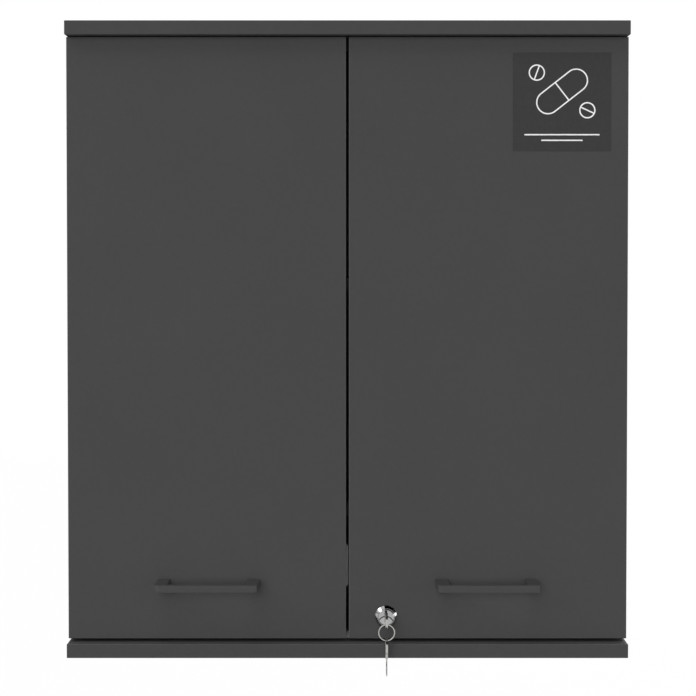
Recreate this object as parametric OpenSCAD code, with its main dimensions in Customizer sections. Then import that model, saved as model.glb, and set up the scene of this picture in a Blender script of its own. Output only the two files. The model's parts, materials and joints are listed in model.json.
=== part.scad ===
// Lockable wall cabinet for medicines: two hinged doors, two shelves, a key lock and a turn latch.
// Frame: X to the right, Y towards the wall, Z up. The origin is midway between the two wall holes,
// at the wall face of the hanging rail.

/* [Cabinet] */
// Width of the cabinet
cabinet_w = 600; // [500:5:900]
// Height over the top and bottom panels
cabinet_h = 679; // [660:1:900]
// Depth of the side panels, from the wall to their front edges
side_depth = 200; // [170:5:350]
// Thickness of the carcass boards
board_t = 15; // [15:0.5:19]
// How far the top and bottom panels stand in front of the doors
panel_lip = 10; // [4:1:16]
// Bevel on the edges of doors, shelves, top and bottom panels
edge_bevel = 0.6; // [0.2:0.1:1.2]
// Thickness of the back panel
back_t = 3; // [2:0.5:6]
// Depth of the groove that holds the back panel
groove_depth = 6; // [4:0.5:8]

/* [Wall fixing] */
// Height of the hanging rail
rail_h = 90; // [80:1:140]
// Thickness of the hanging rail
rail_t = 15; // [15:0.5:19]
// Distance of each wall hole from the outside of the cabinet
wall_hole_in = 60; // [60:1:120]
// Drop of the wall holes below the top panel
wall_hole_drop = 45; // [40:1:55]
// Diameter of the wall holes
wall_hole_d = 7; // [5:0.5:8]

/* [Shelves] */
// Drop of the middle of the upper shelf below the top panel
upper_shelf_drop = 265; // [200:1:300]
// Height of the middle of the lower shelf above the bottom panel
lower_shelf_up = 136; // [132:1:220]
// How far the shelves stop behind the front edges of the sides
shelf_setback = 20; // [12:1:60]
// Thickness of the shelves
shelf_t = 15; // [15:0.5:19]
// Diameter of the shelf pins
shelf_pin_d = 5; // [4:0.5:6]
// Distance of the front hole rows from the front edges of the sides
column_in = 37; // [34:1:45]

/* [Doors] */
// Thickness of the doors
door_t = 15; // [15:0.5:19]
// Gap between the two doors
centre_gap = 3; // [2:0.5:5]
// Gap above the doors
top_gap = 1; // [0.5:0.5:5]
// Gap below the doors
bottom_gap = 3.5; // [1.5:0.5:5]
// Gap between the doors and the front edges of the sides
back_gap = 3; // [3:0.5:5]
// How far the doors stop inside the outside of the cabinet
door_inset = 0.2; // [0:0.1:1]

/* [Hinges] */
// Distance of the hinge middles from the ends of the doors
hinge_from_end = 90; // [75:1:95]
// Diameter of the hinge cups
cup_d = 35; // [35:0.5:40]
// Depth of the hinge cups
cup_depth = 12; // [11.5:0.1:13]
// Board left between a cup and the edge of the door
cup_edge = 3; // [3:0.1:3.4]
// Distance of the hinge pin from the edge of the door
hinge_pin_in = 7; // [6.9:0.05:7.2]
// Depth of the hinge pin behind the back face of the door
hinge_pin_depth = 8.2; // [7.8:0.1:8.4]
// Diameter of the hinge pins
hinge_pin_d = 2.5; // [2:0.1:2.8]
// Thickness of the sheet steel of the hinge arms
arm_t = 1.8; // [1.4:0.1:2]
// Width of the hinge arms
arm_w = 19; // [19:0.5:24]
// Height of the mounting plates under the arms
plate_h = 4.7; // [4.2:0.1:5.5]

/* [Handles] */
// Distance between the handle screws
handle_pitch = 96; // [64:32:160]
// Height of the handle bar
handle_h = 7.5; // [7:0.1:10]
// Thickness of the handle bar, front to back
handle_bar_t = 5.5; // [4:0.5:8]
// Width of each handle foot
handle_foot_w = 13; // [10:0.5:14]
// How far the handles stand out from the doors
handle_reach = 32; // [25:1:40]
// Corner radius of the handles
handle_corner = 5; // [3:0.5:8]
// Height of the handles above the bottom edges of the doors
handle_up = 60.5; // [50:0.5:120]
// How far the handles stand nearer the cabinet's middle than the doors' middles
handle_in = 1.5; // [0:0.5:20]

/* [Lock] */
// Distance of the lock from the middle edge of the door
lock_in = 40; // [34:1:60]
// Height of the lock above the bottom edge of the door
lock_up = 24; // [22.5:0.5:40]
// Diameter of the rosette round the lock
rosette_d = 24; // [22:0.5:30]
// How far the rosette stands out from the door
rosette_h = 4.5; // [3:0.5:7]
// Outer diameter of the lock cylinder
cylinder_d = 18; // [17.5:0.1:18.6]
// Diameter of the turning plug
plug_d = 12; // [11.5:0.1:13]
// Diameter of the plug's face
plug_face_d = 16; // [14.5:0.5:17]
// Distance of the driver pin from the middle of the plug
driver_pin_off = 6; // [5.6:0.1:6.3]
// Width of the bolt's nose
bolt_nose_w = 14; // [10:0.5:16]
// Thickness of the bolt
bolt_t = 4; // [3:0.5:5]

/* [Keys] */
// Length of a key
key_l = 40; // [38:0.5:46]
// Diameter of a key's bow
key_bow_d = 17; // [16:0.5:18]
// Thickness of a key
key_t = 2.6; // [1.9:0.1:2.8]
// Diameter of the hole in the bow
key_hole_d = 8; // [5:0.2:8.4]
// Distance of that hole from the end of the bow
key_hole_in = 5.4; // [5.2:0.1:6]
// Length of the blade
blade_l = 19; // [16:0.5:20]
// Width of the blade
blade_w = 7.6; // [6:0.1:8]
// Thickness of the blade
blade_t = 1.4; // [1.2:0.1:1.9]
// Width of the groove along each side of the blade
blade_groove_w = 1.4; // [1:0.1:1.8]
// Outer diameter of the key ring
ring_d = 18; // [16:0.5:20]
// Wire diameter of the key ring
ring_wire = 1.2; // [1:0.1:1.5]

/* [Latch, catch and stop] */
// Length of the turn latch
latch_l = 46; // [36:1:56]
// Width of the turn latch
latch_w = 14; // [12:0.5:16]
// Thickness of the turn latch
latch_t = 3; // [2:0.5:4]
// Height of the latch pivot above the bottom edge of the door
latch_up = 76; // [70:1:80]
// Width of the magnetic catch
catch_w = 66; // [60:1:90]
// Height of the magnetic catch
catch_h = 14; // [12:0.5:20]
// Depth of the magnetic catch
catch_depth = 16; // [12:0.5:20]
// Width of the door stop
stop_w = 34; // [26:1:36]
// Height of the door stop
stop_h = 7.5; // [5:0.5:12]

/* [Label] */
// Side of the square label
label_w = 105; // [60:1:130]
// Distance of the label from the outer edge of the door
label_side_in = 18.5; // [8:0.5:30]
// Distance of the label from the top edge of the door
label_top_in = 16.5; // [8:0.5:30]

/* [Hidden] */
$fn = 64;
eps = 0.01;
fit_gap = 0.05;      // round a screw, a cup or a pin in its hole
running_gap = 0.06;  // round a turning part in its bore
slide_gap = 0.15;    // beside a part that slides
face_gap = 0.3;      // between flat faces that pass each other

board_colour = [0.29, 0.29, 0.29];
back_colour = [0.36, 0.36, 0.36];
metal_colour = [0.72, 0.72, 0.73];
chrome_colour = [0.85, 0.85, 0.86];
handle_colour = [0.27, 0.27, 0.28];
plastic_colour = [0.2, 0.2, 0.2];
latch_colour = [0.7, 0.7, 0.7];
wood_colour = [0.76, 0.6, 0.4];
label_colour = [0.23, 0.23, 0.23];

// Planes of the carcass and the doors
top_under_z = wall_hole_drop;
top_z = top_under_z + board_t;
bottom_z = top_z - cabinet_h;
floor_z = bottom_z + board_t;
half_w = cabinet_w / 2;
inner_x = half_w - board_t;
side_front_y = -side_depth;
door_back_y = side_front_y - back_gap;
door_front_y = door_back_y - door_t;
panel_front_y = door_front_y - panel_lip;
door_top_z = top_under_z - top_gap;
door_bottom_z = floor_z + bottom_gap;
door_inner_x = centre_gap / 2;
door_outer_x = half_w - door_inset;

// Back panel in its grooves, in front of the rail
groove_play = 0.2;
back_rear_y = -rail_t;
back_front_y = back_rear_y - back_t;
back_edge = groove_depth - 0.5;

// Screws, each as the diameter of its head, the height of its head and the diameter of its shank
plate_screw = [6.8, 2, 3.8];
plate_screw_l = 13;
arm_screw = [7.2, 2.2, 4];
cup_screw = [7, 1.6, 3.5];
cup_screw_l = 12;
handle_screw = [8, 2.4, 4];
handle_screw_in = 10;
handle_screw_play = 0.3;
catch_screw = [6, 2, 3.2];
catch_screw_in = 9;
catch_plate_screw = [5.4, 1.3, 3];
catch_plate_screw_l = 11;
stop_screw = [6, 1.5, 3.2];
stop_screw_in = 8;
strike_screw = [4.6, 0.9, 2.8];
strike_screw_l = 9;
case_screw = [5.4, 1.5, 2.8];
case_screw_in = 8;
plug_screw = [5, 1.4, 2.5];
plug_screw_in = 2.5;
latch_screw = [8, 2, 4];
latch_screw_in = 10;
latch_screw_play = 0.2;

// Corner fittings
cam_d = 15;
cam_depth = 12.5;
cam_from_end = 34;
cam_bolt_d = 6;
cam_bore_d = 7;
cam_thread_d = 5;
cam_thread_l = 11;
dowel_d = 8;
dowel_in_panel = 10;
dowel_in_side = 20;
hole_pitch = 32;
front_column_y = side_front_y + column_in;
rear_column_in = 42;
rear_column_y = back_front_y - rear_column_in;
front_dowel_y = front_column_y + hole_pitch;
rear_dowel_y = rear_column_y - hole_pitch;
edge_mid = board_t / 2;
rail_cam_in = 22;
rail_cam_z = [top_under_z - rail_cam_in, top_under_z - rail_h + rail_cam_in];

// Shelves and their pins
shelf_back_gap = 1;
pin_in_side = 8;
pin_hole_depth = 9;
pin_collar_t = 1;
pin_collar_d = shelf_pin_d + 2.5;
pin_peg_l = 8;
shelf_side_gap = pin_collar_t + 0.2;
pin_rows = 3;
upper_shelf_z = top_under_z - upper_shelf_drop;
lower_shelf_z = floor_z + lower_shelf_up;
pin_below = shelf_t / 2 + shelf_pin_d / 2;

// Hinges, in the hinge's own frame: X from the outside of the cabinet inwards, Y from the door's
// back face into the cabinet
hinge_zs = [door_top_z - hinge_from_end, door_bottom_z + hinge_from_end];
cup_x = door_inset + cup_edge + cup_d / 2;
cup_r = cup_d / 2 - fit_gap;
cup_wall = 0.5;
flange_t = 1;
flange_lip = 1;
cup_screw_off = 6;
cup_screw_pitch = 48;
pin_x = door_inset + hinge_pin_in;
eye_wall = 1.05;
eye_r = hinge_pin_d / 2 + eye_wall;
eye_half = 4;
lug_gap = 0.2;
lug_t = 2.2;
arm_x = board_t + plate_h;
bend_r = 2.9;
strap_x = arm_x + arm_t / 2;
strap_bend_x = strap_x - bend_r;
plate_mid_y = back_gap + column_in;
plate_l = 36;
wing_t = 2;
wing_w = 12;
wing_l = 46;
arm_start_in = 0.5;
arm_flare_l = 10.5;
arm_past_plate = 4;
arm_start_y = back_gap + arm_start_in;
arm_full_y = arm_start_y + arm_flare_l;
arm_end_y = plate_mid_y + plate_l / 2 + arm_past_plate;
arm_wall = 1.5;
plate_w = arm_w - 2 * arm_wall - 2 * face_gap;
arm_screw_off = 12;
arm_screw_y = plate_mid_y + arm_screw_off;

// Handles
handle_x = (door_inner_x + door_outer_x) / 2 - handle_in;
handle_z = door_bottom_z + handle_up;

// Lock, with heights and widths from the axis of the plug, and depths behind the back of the door
lock_x = door_inner_x + lock_in;
lock_z = door_bottom_z + lock_up;
plug_lip = 1.1;
nose_bevel = 0.9;
rosette_rim = 0.8;
rosette_top = rosette_h - nose_bevel - 0.2;
plug_front_y = door_front_y - rosette_h - face_gap / 2 - plug_lip;
keyway_depth = 17;
keyway_side = 0.1;
driver_t = 2.5;
driver_r = 9;
driver_pin_d = 3;
driver_pin_at = driver_pin_off * cos(45);
bolt_travel = 2 * driver_pin_at;
bolt_front = face_gap + driver_t + 0.4;
bolt_back = bolt_front + bolt_t;
bolt_half_w = driver_pin_off + driver_pin_d / 2 + 2.5;
bolt_top = 9;
bolt_shoulder = -11;
bolt_rest_gap = 0.2;
bolt_tip = -lock_up + bolt_rest_gap;
slot_half = driver_pin_d / 2 + 0.25;
slot_from = driver_pin_at - driver_pin_d / 2 - 0.35;
slot_to = driver_pin_off + driver_pin_d / 2 + 0.35;
case_half_w = bolt_half_w + 7;
case_wall = 2;
case_depth = bolt_back + face_gap + case_wall;
case_lift = 0.5;
case_low = -lock_up + case_lift;
case_high = bolt_top + 7;
case_screw_x = bolt_half_w + 3.5;
case_screw_zs = [case_low + 5, case_high - 5];

// Strike for the bolt, on the bottom panel
strike_t = 1;
strike_play = 0.6;
strike_half_w = 22;
strike_screw_x = 15;
strike_mid_y = door_back_y + (bolt_front + bolt_back) / 2;
strike_from_door = 0.5;
strike_depth = 13;
pocket_depth = bolt_travel - bottom_gap - bolt_rest_gap + 3;

// Keys and ring
key_seated = keyway_depth - 0.5;
key_tip_y = plug_front_y + key_seated;
key_end_y = key_tip_y - key_l;
key_hole_y = key_end_y + key_hole_in;
key_neck_w = blade_w + 1.4;
ring_r = (ring_d - ring_wire) / 2;
ring_play = 0.3;
blade_groove_depth = 0.4;
blade_groove_off = 1;
hang_drop = key_hole_d / 2 - ring_wire / 2 - ring_play;
ring_z = lock_z - hang_drop - ring_r;
spare_hole_z = ring_z - ring_r - hang_drop;

// Turn latch
latch_show = 0.8;
latch_x = door_inner_x - latch_show - latch_w / 2;
latch_z = door_bottom_z + latch_up;
latch_front_y = door_back_y + face_gap;
latch_back_y = latch_front_y + latch_t;
grip_h = 4;
grip_t = 3;

// Magnetic catch, door stop and label
catch_face_gap = 0.3;
catch_plate_t = 1.5;
catch_plate_w = 24;
catch_plate_h = 12;
magnet_x = 14;
magnet_w = 18;
magnet_h = 8;
magnet_l = 10;
magnet_out = 1.2;
magnet_front_y = door_back_y + catch_plate_t + catch_face_gap;
catch_front_y = magnet_front_y + magnet_out;
magnet_z = top_under_z - catch_h / 2;
catch_screw_x = catch_w / 2 - 5;
stop_depth = 10;
stop_screw_x = stop_w / 2 - 7;
stop_bevel = 0.5;
stop_mid_y = door_back_y + face_gap + stop_depth / 2;
label_t = 0.25;

// Rods and blocks between stated ends
module x_rod(r, x0, x1) translate([x0, 0, 0]) rotate([0, 90, 0]) cylinder(r = r, h = x1 - x0);
module y_rod(r, y0, y1) translate([0, y0, 0]) rotate([-90, 0, 0]) cylinder(r = r, h = y1 - y0);
module z_rod(r, z0, z1) translate([0, 0, z0]) cylinder(r = r, h = z1 - z0);
module block(low, high) translate(low) cube(high - low);

// Rectangle with bevelled corners, from the origin
module bevelled_rect(w, h, c)
    polygon([[c, 0], [w - c, 0], [w, c], [w, h - c], [w - c, h], [c, h], [0, h - c], [0, c]]);

// Board between two corners, with every edge bevelled
module bevelled_block(low, high, c = edge_bevel) {
    size = high - low;
    translate(low) intersection() {
        linear_extrude(size.z) bevelled_rect(size.x, size.y, c);
        translate([0, size.y, 0]) rotate([90, 0, 0])
            linear_extrude(size.y) bevelled_rect(size.x, size.z, c);
        rotate([90, 0, 90]) linear_extrude(size.x) bevelled_rect(size.y, size.z, c);
    }
}

// Things made for the left and shown again on the right
module mirrored() mirror([1, 0, 0]) children();
module both_sides() {
    children();
    mirrored() children();
}

// Screw along Z, with its head above z = 0 and a cross cut in it
module pan_screw(screw, l) {
    shank_r = screw[2] / 2;
    difference() {
        z_rod(screw[0] / 2, 0, screw[1]);
        cross_cut(screw[0] * 0.6, screw[1]);
    }
    z_rod(shank_r, -l + shank_r, 0);
    translate([0, 0, -l]) cylinder(r1 = 0.2, r2 = shank_r, h = shank_r);
}

// Cone of a flush head, from z = 0 down
module flush_head(screw) translate([0, 0, -screw[1]])
    cylinder(r1 = screw[2] / 2, r2 = screw[0] / 2, h = screw[1]);

// Screw along Z with a flush head
module flush_screw(screw, l) {
    difference() {
        flush_head(screw);
        cross_cut(screw[0] * 0.5, 0);
    }
    z_rod(screw[2] / 2, -l, -screw[1]);
}

module flush_hole(screw, l) {
    flush_head(screw);
    screw_hole(screw, -l - 1, -screw[1] + eps);
}

module screw_hole(screw, z0, z1) z_rod(screw[2] / 2 + fit_gap, z0, z1);

module cross_cut(w, top) {
    cut_w = 0.7;
    cut_depth = 0.9;
    for (a = [0, 90]) rotate([0, 0, a])
        block([-w / 2, -cut_w / 2, top - cut_depth], [w / 2, cut_w / 2, top + 1]);
}

// Middles of the left side's upper and lower ends, with Z towards the panel there
module at_left_ends() for (up = [0, 1])
    translate([-half_w + edge_mid, 0, up ? top_under_z : floor_z]) mirror([0, 0, up ? 0 : 1])
        children();

// Holes for the fittings in a panel's face, seen from the joint plane upwards
module panel_end_holes() {
    for (y = [front_column_y, rear_column_y])
        translate([0, y, 0]) z_rod(cam_thread_d / 2 + fit_gap, -eps, cam_thread_l + 0.5);
    for (y = [front_dowel_y, rear_dowel_y])
        translate([0, y, 0]) z_rod(dowel_d / 2 + fit_gap, -eps, dowel_in_panel + 0.5);
}

// Holes for the fittings in the end of a side, seen from the joint plane downwards
module side_end_holes() {
    for (y = [front_column_y, rear_column_y]) translate([0, y, 0]) {
        z_rod(cam_bore_d / 2, -cam_from_end, eps);
        translate([0, 0, -cam_from_end])
            x_rod(cam_d / 2, edge_mid - cam_depth, edge_mid + eps);
    }
    for (y = [front_dowel_y, rear_dowel_y])
        translate([0, y, 0]) z_rod(dowel_d / 2 + fit_gap, -dowel_in_side - 0.5, eps);
}

module top_panel() color(board_colour) difference() {
    bevelled_block([-half_w, panel_front_y, top_under_z], [half_w, 0, top_z]);
    both_sides() translate([-half_w + edge_mid, 0, top_under_z]) panel_end_holes();
    block([-inner_x - back_edge, back_front_y - groove_play, top_under_z - eps],
        [inner_x + back_edge, back_rear_y, top_under_z + groove_depth]);
    for (x = [-catch_screw_x, catch_screw_x])
        translate([x, catch_front_y + catch_depth / 2, 0])
            screw_hole(catch_screw, top_under_z - eps, top_under_z + catch_screw_in + 1);
}

module bottom_panel() color(board_colour) difference() {
    bevelled_block([-half_w, panel_front_y, bottom_z], [half_w, 0, floor_z]);
    both_sides() translate([-half_w + edge_mid, 0, floor_z]) mirror([0, 0, 1]) panel_end_holes();
    block([-inner_x - back_edge, back_front_y - groove_play, floor_z - groove_depth],
        [inner_x + back_edge, back_rear_y, floor_z + eps]);
    for (x = [-stop_screw_x, stop_screw_x])
        translate([x, stop_mid_y, 0])
            screw_hole(stop_screw, floor_z - stop_screw_in - 1, floor_z + eps);
    bolt_pocket(floor_z - pocket_depth, floor_z + eps);
    strike_screw_places() screw_hole(strike_screw, -strike_screw_l - 1, eps);
}

// Hole that the bolt drops into
module bolt_pocket(z0, z1)
    block([lock_x - bolt_nose_w / 2 - strike_play, door_back_y + bolt_front - strike_play, z0],
        [lock_x + bolt_nose_w / 2 + strike_play, door_back_y + bolt_back + strike_play, z1]);

module strike_screw_places() for (x = [-strike_screw_x, strike_screw_x])
    translate([lock_x + x, strike_mid_y, floor_z]) children();

// Left side; the right side is its mirror image
module side_board() difference() {
    block([-half_w, side_front_y, floor_z], [-inner_x, 0, top_under_z]);
    at_left_ends() side_end_holes();
    block([-inner_x - groove_depth, back_front_y - groove_play, floor_z - eps],
        [-inner_x + eps, back_rear_y, top_under_z + eps]);
    for (z = rail_cam_z) translate([0, -rail_t / 2, z])
        x_rod(cam_thread_d / 2 + fit_gap, -inner_x - cam_thread_l - 0.5, -inner_x + eps);
    for (z0 = [upper_shelf_z, lower_shelf_z], y = [front_column_y, rear_column_y],
            row = [0 : pin_rows - 1])
        translate([0, y, z0 - pin_below + row * hole_pitch])
            x_rod(shelf_pin_d / 2 + fit_gap, -inner_x - pin_hole_depth, -inner_x + eps);
    at_hinges() plate_screw_places() screw_hole(plate_screw, -plate_screw_l, eps);
}

module left_side() color(board_colour) side_board();
module right_side() color(board_colour) mirrored() side_board();

module back_panel() color(back_colour) difference() {
    block([-inner_x - back_edge, back_front_y, floor_z - back_edge],
        [inner_x + back_edge, back_rear_y, top_under_z + back_edge]);
    wall_holes();
}

module wall_holes() for (x = [-half_w + wall_hole_in, half_w - wall_hole_in])
    translate([x, 0, 0]) y_rod(wall_hole_d / 2, back_front_y - 1, 1);

module hanging_rail() color(board_colour) difference() {
    block([-inner_x, -rail_t, top_under_z - rail_h], [inner_x, 0, top_under_z]);
    wall_holes();
    both_sides() for (z = rail_cam_z) translate([-inner_x, 0, z]) {
        translate([0, -rail_t / 2, 0]) x_rod(cam_bore_d / 2, -eps, cam_from_end);
        translate([cam_from_end, 0, 0]) y_rod(cam_d / 2, -cam_depth, eps);
    }
}

module shelf(z) color(board_colour)
    bevelled_block(
        [-inner_x + shelf_side_gap, side_front_y + shelf_setback, z - shelf_t / 2],
        [inner_x - shelf_side_gap, back_front_y - shelf_back_gap, z + shelf_t / 2]);

module upper_shelf() shelf(upper_shelf_z);
module lower_shelf() shelf(lower_shelf_z);

module shelf_pins() color(metal_colour) both_sides()
    for (z0 = [upper_shelf_z, lower_shelf_z], y = [front_column_y, rear_column_y])
        translate([-inner_x, y, z0 - pin_below]) {
            x_rod(shelf_pin_d / 2, -pin_in_side, pin_peg_l);
            x_rod(pin_collar_d / 2, 0, pin_collar_t);
        }

// Cam that grips the head of a corner bolt; its face is at x = 0 and the bolt comes from above
module cam(bolt_depth) difference() {
    x_rod(cam_d / 2 - fit_gap, -cam_depth + 0.2, 0);
    translate([-bolt_depth, 0, 0]) z_rod(cam_bore_d / 2, -3, cam_d);
    rotate([0, 90, 0]) cross_cut(6, 0);
}

module cam_housings() color(metal_colour) both_sides() {
    at_left_ends() for (y = [front_column_y, rear_column_y])
        translate([edge_mid, y, -cam_from_end]) cam(edge_mid);
    for (z = rail_cam_z) translate([-inner_x + cam_from_end, 0, z])
        rotate([-90, 0, 90]) cam(rail_t / 2);
}

// Corner bolt: threaded above z = 0, with its head below
module cam_bolt() {
    z_rod(cam_thread_d / 2, 0, cam_thread_l);
    z_rod(cam_bolt_d / 2, -cam_from_end + 6, 0);
    z_rod(2, -cam_from_end + 2, -cam_from_end + 6);
    z_rod(cam_bore_d / 2 - 0.2, -cam_from_end - 1, -cam_from_end + 2);
}

module cam_bolts() color(metal_colour) both_sides() {
    at_left_ends() for (y = [front_column_y, rear_column_y]) translate([0, y, 0]) cam_bolt();
    for (z = rail_cam_z) translate([-inner_x, -rail_t / 2, z]) rotate([0, -90, 0]) cam_bolt();
}

module wood_dowels() color(wood_colour) both_sides() at_left_ends()
    for (y = [front_dowel_y, rear_dowel_y])
        translate([0, y, 0]) z_rod(dowel_d / 2, -dowel_in_side, dowel_in_panel);

// Hinges of the left door
module at_hinges() for (z = hinge_zs) translate([-half_w, door_back_y, z]) children();

module cup_screw_places() for (s = [-1, 1])
    translate([cup_x + cup_screw_off, flange_t, s * cup_screw_pitch / 2])
        rotate([-90, 0, 0]) children();

module plate_screw_places() for (s = [-1, 1])
    translate([board_t, plate_mid_y, s * hole_pitch / 2]) rotate([0, 90, 0]) children();

module hinge_cup() {
    ear_w = 12;
    difference() {
        union() {
            translate([cup_x, 0, 0]) y_rod(cup_r, -cup_depth, 0);
            translate([cup_x, 0, 0]) y_rod(cup_r + flange_lip, 0, flange_t);
            translate([cup_x + cup_screw_off, 0, 0]) {
                block([-ear_w / 2, 0, -cup_screw_pitch / 2], [ear_w / 2, flange_t, cup_screw_pitch / 2]);
                for (s = [-1, 1]) translate([0, 0, s * cup_screw_pitch / 2])
                    y_rod(ear_w / 2, 0, flange_t);
            }
        }
        translate([cup_x, 0, 0]) y_rod(cup_r - cup_wall, -cup_depth + cup_wall, flange_t + 1);
        cup_screw_places() screw_hole(cup_screw, -flange_t - 1, 1);
    }
    difference() {
        intersection() {
            translate([cup_x, 0, 0]) y_rod(cup_r, -cup_depth, 0);
            for (s = [-1, 1]) translate([0, 0, s * (eye_half + lug_gap + lug_t / 2)])
                block([0, -cup_depth, -lug_t / 2],
                    [pin_x + eye_r, -hinge_pin_depth + eye_r + 0.4, lug_t / 2]);
        }
        hinge_axis() z_rod(hinge_pin_d / 2, -cup_d, cup_d);
    }
}

module hinge_axis() translate([pin_x, -hinge_pin_depth, 0]) children();

module hinge_pin() hinge_axis()
    z_rod(hinge_pin_d / 2, -eye_half - lug_gap - lug_t, eye_half + lug_gap + lug_t);

// Arm: eye on the pin, strap out of the cup, then a channel over the mounting plate
module hinge_arm() difference() {
    union() {
        hinge_axis() z_rod(eye_r, -eye_half, eye_half);
        block([pin_x, -hinge_pin_depth - arm_t / 2, -eye_half],
            [strap_bend_x, -hinge_pin_depth + arm_t / 2, eye_half]);
        translate([strap_bend_x, -hinge_pin_depth + bend_r, -eye_half])
            linear_extrude(2 * eye_half) intersection() {
                difference() {
                    circle(bend_r + arm_t / 2);
                    circle(bend_r - arm_t / 2);
                }
                translate([0, -bend_r - arm_t]) square(bend_r + arm_t);
            }
        block([arm_x, -hinge_pin_depth + bend_r, -eye_half], [arm_x + arm_t, arm_start_y, eye_half]);
        translate([arm_x, 0, 0]) rotate([0, 90, 0]) linear_extrude(arm_t)
            polygon([[-eye_half, arm_start_y], [eye_half, arm_start_y], [arm_w / 2, arm_full_y],
                [arm_w / 2, arm_end_y], [-arm_w / 2, arm_end_y], [-arm_w / 2, arm_full_y]]);
        for (s = [-1, 1]) translate([0, 0, s * (arm_w - arm_wall) / 2])
            block([board_t + wing_t + face_gap, arm_full_y, -arm_wall / 2],
                [arm_x + arm_t, arm_end_y, arm_wall / 2]);
    }
    hinge_axis() z_rod(hinge_pin_d / 2 + fit_gap, -cup_d, cup_d);
    arm_screw_place() screw_hole(arm_screw, -arm_t - 1, 1);
}

module arm_screw_place() translate([arm_x + arm_t, arm_screw_y, 0]) rotate([0, 90, 0]) children();

module hinge_plate() difference() {
    union() {
        block([board_t, plate_mid_y - plate_l / 2, -plate_w / 2],
            [arm_x, plate_mid_y + plate_l / 2, plate_w / 2]);
        block([board_t, plate_mid_y - wing_w / 2, -wing_l / 2],
            [board_t + wing_t, plate_mid_y + wing_w / 2, wing_l / 2]);
    }
    plate_screw_places() screw_hole(plate_screw, -1, wing_t + 1);
    arm_screw_place() screw_hole(arm_screw, -arm_x, 1);
}

module hinge_cups() at_hinges() hinge_cup();
module hinge_pins() at_hinges() hinge_pin();
module hinge_arms() at_hinges() hinge_arm();
module hinge_plates() at_hinges() hinge_plate();
module plate_screws() at_hinges() plate_screw_places() translate([0, 0, wing_t])
    pan_screw(plate_screw, plate_screw_l);
module arm_screws() at_hinges() arm_screw_place() pan_screw(arm_screw, arm_t + plate_h);
module cup_screws() at_hinges() cup_screw_places() pan_screw(cup_screw, cup_screw_l);

module left_hinge_cups() color(metal_colour) hinge_cups();
module right_hinge_cups() color(metal_colour) mirrored() hinge_cups();
module left_hinge_pins() color(metal_colour) hinge_pins();
module right_hinge_pins() color(metal_colour) mirrored() hinge_pins();
module left_hinge_arms() color(metal_colour) hinge_arms();
module right_hinge_arms() color(metal_colour) mirrored() hinge_arms();
module left_hinge_plates() color(metal_colour) hinge_plates();
module right_hinge_plates() color(metal_colour) mirrored() hinge_plates();
module left_plate_screws() color(metal_colour) plate_screws();
module right_plate_screws() color(metal_colour) mirrored() plate_screws();
module left_arm_screws() color(metal_colour) arm_screws();
module right_arm_screws() color(metal_colour) mirrored() arm_screws();
module left_cup_screws() color(metal_colour) cup_screws();
module right_cup_screws() color(metal_colour) mirrored() cup_screws();

// Door board of the left; the right one is its mirror image with the lock's holes
module door_blank() difference() {
    bevelled_block([-door_outer_x, door_front_y, door_bottom_z],
        [-door_inner_x, door_back_y, door_top_z]);
    at_hinges() {
        translate([cup_x, 0, 0]) y_rod(cup_d / 2, -cup_depth - 0.2, eps);
        cup_screw_places() screw_hole(cup_screw, -cup_screw_l - 0.5, 0);
    }
    handle_screw_places()
        y_rod(handle_screw[2] / 2 + handle_screw_play, door_front_y - eps, door_back_y + eps);
    translate([-magnet_x, door_back_y, magnet_z]) rotate([-90, 0, 0])
        screw_hole(catch_plate_screw, catch_plate_t - catch_plate_screw_l - 0.5, eps);
}

module handle_screw_places() for (s = [-1, 1])
    translate([-handle_x + s * handle_pitch / 2, 0, handle_z]) children();

module left_door() color(board_colour) difference() {
    door_blank();
    translate([latch_x, 0, latch_z])
        y_rod(latch_screw[2] / 2 + fit_gap, door_back_y - latch_screw_in - 0.5, door_back_y + eps);
}

module right_door() color(board_colour) difference() {
    mirrored() door_blank();
    translate([lock_x, 0, lock_z])
        y_rod(cylinder_d / 2 + fit_gap, door_front_y - eps, door_back_y + eps);
    case_screw_places() screw_hole(case_screw, -case_depth - case_screw_in - 1, 0);
}

// Bow handle: two feet and a bar with round corners, seen from above
module handle_outline() {
    w = handle_pitch + handle_foot_w;
    difference() {
        union() {
            translate([-w / 2, -handle_reach + handle_corner])
                square([w, handle_reach - handle_corner]);
            translate([-w / 2 + handle_corner, -handle_reach])
                square([w - 2 * handle_corner, handle_reach]);
            for (s = [-1, 1])
                translate([s * (w / 2 - handle_corner), -handle_reach + handle_corner])
                    circle(handle_corner);
        }
        translate([-w / 2 + handle_foot_w, -handle_reach + handle_bar_t])
            square([w - 2 * handle_foot_w, handle_reach]);
    }
}

module handle() difference() {
    translate([-handle_x, door_front_y, handle_z - handle_h / 2])
        linear_extrude(handle_h) handle_outline();
    handle_screw_places()
        y_rod(handle_screw[2] / 2 + fit_gap, door_front_y - handle_screw_in - 1, door_front_y + eps);
}

module handle_screws() handle_screw_places() translate([0, door_back_y, 0]) rotate([-90, 0, 0])
    pan_screw(handle_screw, door_t + handle_screw_in);

module left_handle() color(handle_colour) handle();
module right_handle() color(handle_colour) mirrored() handle();
module left_handle_screws() color(metal_colour) handle_screws();
module right_handle_screws() color(metal_colour) mirrored() handle_screws();

// Steel plate on a door that the magnet pulls
module catch_plate() translate([-magnet_x, door_back_y, magnet_z]) difference() {
    block([-catch_plate_w / 2, 0, -catch_plate_h / 2],
        [catch_plate_w / 2, catch_plate_t, catch_plate_h / 2]);
    translate([0, catch_plate_t, 0]) rotate([-90, 0, 0])
        flush_hole(catch_plate_screw, catch_plate_t);
}

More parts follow.
